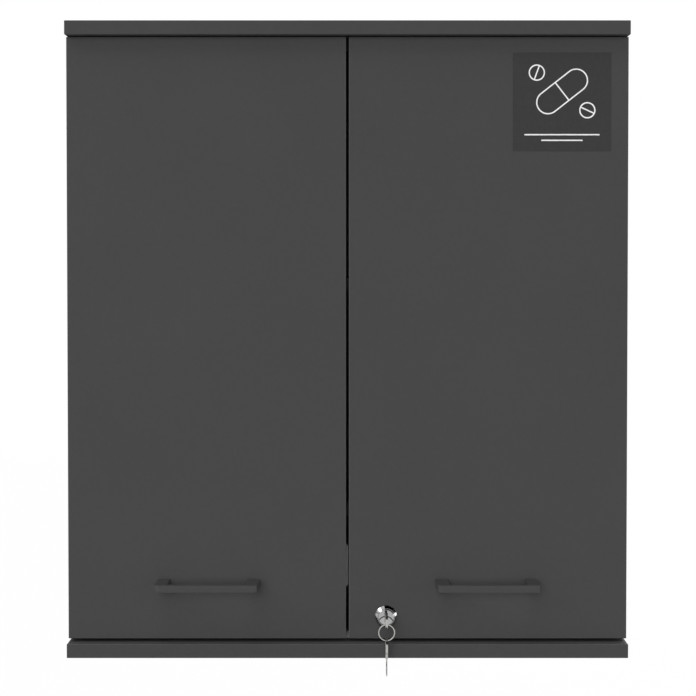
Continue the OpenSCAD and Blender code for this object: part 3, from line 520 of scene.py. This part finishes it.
class CABINET_OT_boards(bpy.types.Operator):
    """Coats the boards, with a pale line where their edge bands join that is partly a painted
    highlight along the edge bevel, and lacquers the back panel
    """

    bl_idname = "cabinet.boards"
    bl_label = "Boards"

    def execute(self, context):
        colours, sizes = context.scene.cabinet_colours, context.scene.cabinet_sizes
        for node in BOARDS:
            paint(NODES[node], melamine(node, colours.board, sizes))
        paint(NODES["back_panel"], hardboard(colours))
        paint(NODES["wood_dowels"], turned_wood(colours))
        return {"FINISHED"}


class CABINET_OT_handles(bpy.types.Operator):
    """Powder coated bow handles with rounded edges"""

    bl_idname = "cabinet.handles"
    bl_label = "Handles"

    def execute(self, context):
        colours, sizes = context.scene.cabinet_colours, context.scene.cabinet_sizes
        coat = powder_coat(colours)
        for side in ("left", "right"):
            node = side + "_handle"
            piece = rounded(side + "_bow_handle", node, sizes.handle_round, segments=4)
            fixed(piece, node, coat)
        return {"FINISHED"}


class CABINET_OT_label(bpy.types.Operator):
    """Prints the plain motif on the square label"""

    bl_idname = "cabinet.label"
    bl_label = "Label"

    def execute(self, context):
        colours, sizes = context.scene.cabinet_colours, context.scene.cabinet_sizes
        paint(NODES["door_label"], label_film(colours, sizes))
        return {"FINISHED"}


class CABINET_OT_lock(bpy.types.Operator):
    """Chrome rosette, cylinder and plug, and the case with its bolt and driver"""

    bl_idname = "cabinet.lock"
    bl_label = "Lock"

    def execute(self, context):
        colours, sizes = context.scene.cabinet_colours, context.scene.cabinet_sizes
        chrome = plated("polished_chrome", colours.chrome, 0.07, grain=400, depth=0.02)
        steel = plated("case_steel", colours.steel, 0.3, stretch=(1, 1, 0.05))
        low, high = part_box("lock_rosette")
        centre = Vector(((low.x + high.x) / 2, high.y, (low.z + high.z) / 2))
        outer, tall = (high.x - low.x) / 2, high.y - low.y
        cylinder_low, cylinder_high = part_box("lock_cylinder")
        bore = (cylinder_high.x - cylinder_low.x) / 2
        rim, land = 0.8 * MM, 0.3 * MM  # height of the outer wall, width of the flat at the bore
        profile = filleted([
            (bore, 0, 0), (outer, 0, 0), (outer, rim, 0.5 * MM),
            (bore + land, tall, 0.25 * MM), (bore, tall, 0.1 * MM)])
        rosette = plain(turned("chrome_rosette", profile, centre, sizes.round_steps))
        fixed(rosette, "lock_rosette", chrome)
        for node in ("lock_plug", "lock_cylinder"):
            fixed(rounded("chrome_" + node, node, sizes.metal_round), node, chrome)
        for node in ("lock_case", "lock_bolt", "bolt_driver"):
            fixed(rounded("pressed_" + node, node, sizes.metal_round), node, steel)
        return {"FINISHED"}


class CABINET_OT_keys(bpy.types.Operator):
    """Nickel plated keys: the one in the lock and the spare"""

    bl_idname = "cabinet.keys"
    bl_label = "Keys"

    def execute(self, context):
        colours, sizes = context.scene.cabinet_colours, context.scene.cabinet_sizes
        for node, stretch in (("door_key", (1, 0.08, 1)), ("spare_key", (1, 1, 0.08))):
            nickel = plated("nickel_" + node, colours.nickel, 0.2, stretch, grain=1500, depth=0.12)
            fixed(rounded("nickel_" + node, node, sizes.key_round), node, nickel)
        return {"FINISHED"}


def socket_of(tree, name):
    """Identifier of a node tree's input."""
    return next(i.identifier for i in tree.interface.items_tree
                if i.name == name and i.in_out == "INPUT")


def grown(name, tree, inputs, mesh=None):
    """Runs a node tree on a new object and returns the result as a plain mesh."""
    piece = new_piece(name, mesh or bpy.data.meshes.new(name))
    modifier = piece.modifiers.new("made", "NODES")
    modifier.node_group = tree
    for key, value in inputs.items():
        modifier[socket_of(tree, key)] = value
    return plain(piece)


def new_tree(name, inputs):
    """Empty geometry tree with named inputs of (name, socket kind, default)."""
    tree = bpy.data.node_groups.new(name, "GeometryNodeTree")
    tree.interface.new_socket("Geometry", in_out="INPUT", socket_type="NodeSocketGeometry")
    for label, kind, default in inputs:
        socket = tree.interface.new_socket(label, in_out="INPUT", socket_type=kind)
        if default is not None:
            socket.default_value = default
    tree.interface.new_socket("Geometry", in_out="OUTPUT", socket_type="NodeSocketGeometry")

    def node(kind, values=(), **settings):
        made = tree.nodes.new(kind)
        for key, value in settings.items():
            setattr(made, key, value)
        for socket, value in dict(values).items():
            if isinstance(value, bpy.types.NodeSocket):
                tree.links.new(value, made.inputs[socket])
            else:
                made.inputs[socket].default_value = value
        return made

    return tree, node, node("NodeGroupInput").outputs


RING_SIDES = 96  # sides of one turn of the wire
TURN_HEIGHT = 0.9  # the wire's height, against the pitch of the turns
WIRE_CORNER = 0.35  # rounding of the wire's corners, against its height


def ring_tree():
    """Flat wire wound in close turns about Y."""
    tree, node, given = new_tree("wound_ring", [
        ("Turns", "NodeSocketFloat", 2.0), ("Radius", "NodeSocketFloat", 8.4 * MM),
        ("Wire", "NodeSocketFloat", 1.2 * MM), ("Centre", "NodeSocketVector", None),
        ("Finish", "NodeSocketMaterial", None)])
    pitch = node("ShaderNodeMath", {0: given["Wire"], 1: given["Turns"]}, operation="DIVIDE")
    rise = node("ShaderNodeMath", {0: pitch.outputs[0], 1: TURN_HEIGHT}, operation="MULTIPLY")
    height = node("ShaderNodeMath", {0: given["Wire"], 1: 0.5}, operation="MULTIPLY")
    spiral = node("GeometryNodeCurveSpiral", {
        "Resolution": RING_SIDES, "Rotations": given["Turns"], "Start Radius": given["Radius"],
        "End Radius": given["Radius"], "Height": height.outputs[0]})
    section = node("GeometryNodeCurvePrimitiveQuadrilateral", {
        "Width": given["Wire"], "Height": rise.outputs[0]})
    corner = node("ShaderNodeMath", {0: rise.outputs[0], 1: WIRE_CORNER}, operation="MULTIPLY")
    soft = node("GeometryNodeFilletCurve", {
        "Curve": section.outputs[0], "Count": 3, "Radius": corner.outputs[0],
        "Limit Radius": True}, mode="POLY")
    wire = node("GeometryNodeCurveToMesh", {
        "Curve": spiral.outputs[0], "Profile Curve": soft.outputs[0], "Fill Caps": True})
    down = node("ShaderNodeVectorMath", {0: (0, 0, -1)}, operation="SCALE")
    half = node("ShaderNodeMath", {0: height.outputs[0], 1: 0.5}, operation="MULTIPLY")
    tree.links.new(half.outputs[0], down.inputs["Scale"])
    centred = node("GeometryNodeTransform", {
        "Geometry": wire.outputs[0], "Translation": down.outputs[0]})
    placed = node("GeometryNodeTransform", {
        "Geometry": centred.outputs[0], "Translation": given["Centre"],
        "Rotation": (math.pi / 2, 0, 0)})
    real = node("GeometryNodeRealizeInstances", {"Geometry": placed.outputs[0]})
    painted = node("GeometryNodeSetMaterial", {
        "Geometry": real.outputs[0], "Material": given["Finish"]})
    node("NodeGroupOutput", {0: painted.outputs[0]})
    return tree


class CABINET_OT_key_ring(bpy.types.Operator):
    """Ring of flat wire, wound in close turns through both keys"""

    bl_idname = "cabinet.key_ring"
    bl_label = "Key ring"

    def execute(self, context):
        colours, sizes = context.scene.cabinet_colours, context.scene.cabinet_sizes
        nickel = plated("nickel_ring", colours.nickel, 0.16, grain=1300, depth=0.08)
        low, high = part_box("key_ring")
        wire = high.y - low.y
        ring = grown("nickel_key_ring", ring_tree(), {
            "Turns": float(sizes.ring_turns), "Radius": (high.x - low.x - wire) / 2,
            "Wire": wire, "Centre": tuple((low + high) / 2), "Finish": nickel})
        fixed(ring, "key_ring", nickel)
        return {"FINISHED"}


HEAD_RIM = 0.98  # points this far out, against the widest, are on the head's rim
SHANK_FROM = 0.3  # points this far down the shank, against its length, are the shank's


def screw_places(node):
    """Each screw of a CAD node as (middle of the head's seat, axis to the head, head and shank)."""
    bm = welded(node)
    left, places = set(bm.verts), []
    for start in bm.verts:
        if start not in left:
            continue
        left.discard(start)
        front, island = [start], []
        while front:
            v = front.pop()
            island.append(v.co.copy())
            for e in v.link_edges:
                w = e.other_vert(v)
                if w in left:
                    left.discard(w)
                    front.append(w)
        low = Vector([min(p[i] for p in island) for i in range(3)])
        high = Vector([max(p[i] for p in island) for i in range(3)])
        size, centre = high - low, (low + high) / 2
        k = max(range(3), key=lambda i: size[i])
        side = (k + 1) % 3
        head_r = size[side] / 2
        wide = [p[k] for p in island if abs((p - centre)[side]) > head_r * HEAD_RIM]
        head_up = abs(max(wide) - high[k]) < abs(min(wide) - low[k])
        axis = Vector([0, 0, 0])
        axis[k] = 1 if head_up else -1
        head_h = max(wide) - min(wide)
        seat = centre.copy()
        seat[k] = (high[k] - head_h) if head_up else (low[k] + head_h)
        length = size[k] - head_h
        shank = [p for p in island if (p - seat).dot(axis) < -length * SHANK_FROM]
        shank_r = max(abs((p - centre)[side]) for p in shank)
        places.append((seat, axis, (head_r, head_r, head_h), (shank_r, shank_r, length)))
    bm.free()
    return places


def screw_tree():
    """A head and a shank on every point, turned to the point's own axis."""
    tree, node, given = new_tree("screws", [
        ("Head", "NodeSocketObject", None), ("Shank", "NodeSocketObject", None),
        ("Finish", "NodeSocketMaterial", None)])
    made = []
    turn = node("GeometryNodeInputNamedAttribute", {"Name": "turn"}, data_type="FLOAT_VECTOR")
    for part, size in (("Head", "head_size"), ("Shank", "shank_size")):
        shape = node("GeometryNodeObjectInfo", {"Object": given[part]})
        scale = node("GeometryNodeInputNamedAttribute", {"Name": size}, data_type="FLOAT_VECTOR")
        made.append(node("GeometryNodeInstanceOnPoints", {
            "Points": given["Geometry"], "Instance": shape.outputs["Geometry"],
            "Rotation": turn.outputs[0], "Scale": scale.outputs[0]}))
    both = node("GeometryNodeJoinGeometry")
    for part in made:
        tree.links.new(part.outputs[0], both.inputs[0])
    real = node("GeometryNodeRealizeInstances", {"Geometry": both.outputs[0]})
    painted = node("GeometryNodeSetMaterial", {
        "Geometry": real.outputs[0], "Material": given["Finish"]})
    node("NodeGroupOutput", {0: painted.outputs[0]})
    return tree


# Screws in units of their own radius and height: the head's profile with its roundings, the
# shank's profile, and the length, width and height of a slot of the cross recess at its mouth
# and at its foot
HEAD_PROFILE = ((0, 0, 0), (1, 0, 0), (1, 0.35, 0.2), (0.8, 0.86, 0.3), (0, 1.0, 0))
SHANK_PROFILE = ((0, 0.02), (1, 0.02), (1, -0.88), (0.1, -1), (0, -1))
RECESS_MOUTH = (1.18, 0.24, 1.3)
RECESS_FOOT = (0.42, 0.16, 0.28)
HEAD_SIDES, SHANK_SIDES = 40, 24
HEAD_SHARP = math.radians(30)


def screw_shapes():
    """Domed head, shank with a point, and the cross that cuts the head's recess."""
    origin, up = (0, 0, 0), (0, 0, 1)
    head = turned("unit_head", filleted(HEAD_PROFILE, steps=4), origin, HEAD_SIDES, up)
    bm = bmesh.new()
    for angle in (0, math.pi / 2):
        slot = bmesh.ops.create_cube(bm, size=1.0)["verts"]
        for v in slot:
            long, thin, height = RECESS_FOOT if v.co.z < 0 else RECESS_MOUTH
            v.co = (v.co.x * long, v.co.y * thin, height)
        bmesh.ops.rotate(bm, verts=slot, matrix=Matrix.Rotation(angle, 3, "Z"))
    recess = new_piece("unit_recess", mesh_of("unit_recess", bm))
    cut = head.modifiers.new("recess", "BOOLEAN")
    cut.object, cut.operation, cut.solver, cut.use_self = recess, "DIFFERENCE", "EXACT", True
    plain(head, sharp=HEAD_SHARP)
    shank = plain(turned("unit_shank", SHANK_PROFILE, origin, SHANK_SIDES, up))
    return head, shank, recess


class CABINET_OT_screws(bpy.types.Operator):
    """Plated screws: domed heads with a cross recess, and flush ones"""

    bl_idname = "cabinet.screws"
    bl_label = "Screws"

    def execute(self, context):
        colours = context.scene.cabinet_colours
        zinc_plate = plated("plated_screws", colours.steel, 0.24, grain=1500)
        tree = screw_tree()
        head, shank, recess = screw_shapes()
        for node in PAN_SCREWS:
            places = screw_places(node)
            mesh = bpy.data.meshes.new(node + "_points")
            seats, axes, heads, shanks = zip(*places)
            mesh.from_pydata(seats, [], [])
            turns = [axis.to_track_quat("Z", "Y").to_euler() for axis in axes]
            for name, values in (("turn", turns), ("head_size", heads), ("shank_size", shanks)):
                attribute = mesh.attributes.new(name, "FLOAT_VECTOR", "POINT")
                attribute.data.foreach_set("vector", [c for v in values for c in v])
            piece = grown("domed_" + node, tree,
                          {"Head": head, "Shank": shank, "Finish": zinc_plate}, mesh)
            fixed(piece, node, zinc_plate)
        for spare in (head, shank, recess):
            bpy.data.objects.remove(spare)
        for node in FLUSH_SCREWS:
            paint(NODES[node], zinc_plate)
        return {"FINISHED"}


class CABINET_OT_fittings(bpy.types.Operator):
    """Hinges, shelf pins, cams, strike and catch plates"""

    bl_idname = "cabinet.fittings"
    bl_label = "Fittings"

    def execute(self, context):
        colours, sizes = context.scene.cabinet_colours, context.scene.cabinet_sizes
        steel = plated("nickel_steel", colours.steel, 0.26, stretch=(1, 0.08, 1))
        zinc = plated("cam_zinc", colours.zinc, 0.45, grain=1100, depth=0.35)
        pressed = ["shelf_pins", "strike_plate"]
        for side in ("left_", "right_"):
            pressed += [side + n for n in ("hinge_arms", "hinge_plates", "hinge_cups",
                                           "hinge_pins", "catch_plate")]
        for node in pressed:
            fixed(rounded("pressed_" + node, node, sizes.metal_round), node, steel)
        paint(NODES["cam_bolts"], steel)
        paint(NODES["cam_housings"], zinc)
        return {"FINISHED"}


class CABINET_OT_closers(bpy.types.Operator):
    """Turn latch, magnetic catch and door stop"""

    bl_idname = "cabinet.closers"
    bl_label = "Latch, catch and stop"

    def execute(self, context):
        colours, sizes = context.scene.cabinet_colours, context.scene.cabinet_sizes
        finishes = {
            "turn_latch": moulded("latch_plastic", colours.latch),
            # The stop's darker colour is painted shade, against the light it gets through the gap
            # under the doors.
            "door_stop": moulded("stop_plastic", colours.stop),
            "magnetic_catch": moulded("catch_plastic", colours.plastic, shine=0.08),
        }
        for node, finish in finishes.items():
            fixed(rounded("soft_" + node, node, sizes.plastic_round, segments=3), node, finish)
        poles = plated("pole_steel", colours.zinc, 0.6, stretch=(1, 0.1, 1))
        paint(NODES["catch_magnets"], poles)
        return {"FINISHED"}


def white_to_view(tree):
    """Factor of 1 for rays that show the background: camera, glossy and transmission."""
    path = tree.nodes.new("ShaderNodeLightPath")
    total = path.outputs["Is Camera Ray"]
    for name in ("Is Glossy Ray", "Is Transmission Ray"):
        add = tree.nodes.new("ShaderNodeMath")
        add.operation, add.use_clamp = "ADD", True
        tree.links.new(total, add.inputs[0])
        tree.links.new(path.outputs[name], add.inputs[1])
        total = add.outputs[0]
    return total


FLOOR_RADIUS = 9.0
FLOOR_LIT, FLOOR_SEEN = (0.15,) * 3, (0.9,) * 3  # as it lights the cabinet, and as it is seen
FLOOR_WHITE = 0.92  # share of the floor, as it is seen, that is plain white

# Name, direction from the cabinet, spread in degrees, the studio's strength for it, and whether
# reflections show it
LAMPS = (
    ("key", (-0.17, -1.0, 0.16), 38, "key_light", False),
    ("top", (-0.25, -0.25, 0.93), 40, "top_light", False),
    ("left", (-0.74, -0.23, 0.63), 22, "side_light", True),
    ("right", (0.97, -0.20, 0.15), 36, "side_light", True),
    ("back", (0.3, 1.0, 0.4), 40, "back_light", True),
)
LAMP_DISTANCE = 4.0  # only where a lamp stands in the view, as a sun's light is the same
FLAG_CORNERS = ((-0.25, -2.2, 1.05), (-0.25, -0.26, 1.05),
                (1.7, -0.26, -0.15), (1.7, -2.2, -0.15))


class CABINET_OT_stage(bpy.types.Operator):
    """Pale floor, soft lamps and the camera"""

    bl_idname = "cabinet.stage"
    bl_label = "Stage"

    def execute(self, context):
        studio = context.scene.cabinet_studio
        self.floor(studio)
        self.sky(context.scene, studio)
        for name, towards, spread, setting, glints in LAMPS:
            self.lamp(name, towards, spread, getattr(studio, setting), glints)
        self.flag()
        self.camera(context.scene, studio)
        context.scene.view_settings.view_transform = "Standard"
        return {"FINISHED"}

    def floor(self, studio):
        bm = bmesh.new()
        bmesh.ops.create_circle(bm, cap_ends=True, segments=96, radius=FLOOR_RADIUS)
        mesh = mesh_of("floor", bm)
        mesh.transform(Matrix.Translation((0, 0, studio.floor_z)))
        floor = new_piece("floor", mesh)
        material = bpy.data.materials.new("pale_floor")
        material.use_nodes = True
        tree = material.node_tree
        shader, output = tree.nodes["Principled BSDF"], tree.nodes["Material Output"]
        tone = tree.nodes.new("ShaderNodeMix")
        tone.data_type = "RGBA"
        tone.inputs[6].default_value = (*FLOOR_LIT, 1.0)
        tone.inputs[7].default_value = (*FLOOR_SEEN, 1.0)
        tree.links.new(white_to_view(tree), tone.inputs[0])
        tree.links.new(tone.outputs[2], shader.inputs["Base Color"])
        shader.inputs["Roughness"].default_value = 0.7
        glow = tree.nodes.new("ShaderNodeEmission")
        glow.inputs["Strength"].default_value = 1.0
        mix = tree.nodes.new("ShaderNodeMixShader")
        share = tree.nodes.new("ShaderNodeMath")
        share.operation = "MULTIPLY"
        share.inputs[1].default_value = FLOOR_WHITE
        tree.links.new(white_to_view(tree), share.inputs[0])
        tree.links.new(share.outputs[0], mix.inputs[0])
        tree.links.new(shader.outputs[0], mix.inputs[1])
        tree.links.new(glow.outputs[0], mix.inputs[2])
        tree.links.new(mix.outputs[0], output.inputs["Surface"])
        paint(floor, material)
        floor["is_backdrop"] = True

    def sky(self, scene, studio):
        world = bpy.data.worlds.new("studio")
        scene.world = world
        world.use_nodes = True
        tree = world.node_tree
        background = tree.nodes["Background"]
        background.inputs["Color"].default_value = (1, 1, 1, 1)
        level = tree.nodes.new("ShaderNodeMapRange")
        level.inputs["To Min"].default_value = studio.ambient
        tree.links.new(white_to_view(tree), level.inputs["Value"])
        tree.links.new(level.outputs[0], background.inputs["Strength"])

    def lamp(self, name, towards, spread, strength, glints):
        """Soft lamp that shines from that direction."""
        data = bpy.data.lights.new(name, "SUN")
        data.energy, data.angle = strength, math.radians(spread)
        lamp = new_piece(name, data)
        lamp.location = Vector(towards).normalized() * LAMP_DISTANCE
        lamp.rotation_euler = Vector(towards).to_track_quat("Z", "Y").to_euler()
        lamp.visible_glossy = glints

    def flag(self):
        """Black card, up and to the right, that only reflections show."""
        mesh = bpy.data.meshes.new("flag")
        mesh.from_pydata(FLAG_CORNERS, [], [(0, 1, 2, 3)])
        flag = new_piece("flag", mesh)
        material = bpy.data.materials.new("flag_black")
        material.use_nodes = True
        shader = material.node_tree.nodes["Principled BSDF"]
        shader.inputs["Base Color"].default_value = (0.0, 0.0, 0.0, 1.0)
        shader.inputs["Specular IOR Level"].default_value = 0.0
        paint(flag, material)
        flag.visible_camera = flag.visible_diffuse = flag.visible_shadow = False
        flag.visible_transmission = False
        flag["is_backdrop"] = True

    def camera(self, scene, studio):
        data = bpy.data.cameras.new("camera")
        data.lens, data.shift_y = studio.lens, studio.shift_y
        camera = new_piece("camera", data)
        camera.location = (studio.camera_x, studio.camera_y, studio.camera_z)
        camera.rotation_euler = (math.pi / 2 - studio.tilt, 0, 0)
        scene.camera = camera


STEPS = (CABINET_OT_boards, CABINET_OT_handles, CABINET_OT_label, CABINET_OT_lock,
         CABINET_OT_keys, CABINET_OT_key_ring, CABINET_OT_screws, CABINET_OT_fittings,
         CABINET_OT_closers, CABINET_OT_stage)


class CABINET_PT_panel(bpy.types.Panel):
    """Lists the steps in the order in which they are made"""

    bl_label = "Medicine cabinet"
    bl_idname = "CABINET_PT_panel"
    bl_space_type = "VIEW_3D"
    bl_region_type = "UI"
    bl_category = "Cabinet"

    def draw(self, context):
        for step in STEPS:
            self.layout.operator(step.bl_idname)
        for group in ("cabinet_colours", "cabinet_sizes", "cabinet_studio"):
            settings = getattr(context.scene, group)
            box = self.layout.box()
            for key in settings.__annotations__:
                box.prop(settings, key)


CLASSES = (CabinetColours, CabinetSizes, CabinetStudio, *STEPS, CABINET_PT_panel)


def register():
    for cls in CLASSES:
        bpy.utils.register_class(cls)
    bpy.types.Scene.cabinet_colours = PointerProperty(type=CabinetColours)
    bpy.types.Scene.cabinet_sizes = PointerProperty(type=CabinetSizes)
    bpy.types.Scene.cabinet_studio = PointerProperty(type=CabinetStudio)


def unregister():
    for group in ("cabinet_colours", "cabinet_sizes", "cabinet_studio"):
        delattr(bpy.types.Scene, group)
    for cls in reversed(CLASSES):
        bpy.utils.unregister_class(cls)


def main():
    """Makes every piece in order."""
    register()
    for step in STEPS:
        area, name = step.bl_idname.split(".")
        getattr(getattr(bpy.ops, area), name)()
    boxes = {"cad": CAD_BOX, "visual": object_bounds()}
    {k: [list(corner) for corner in box] for k, box in boxes.items()}


if __name__ == "__main__":
    main()
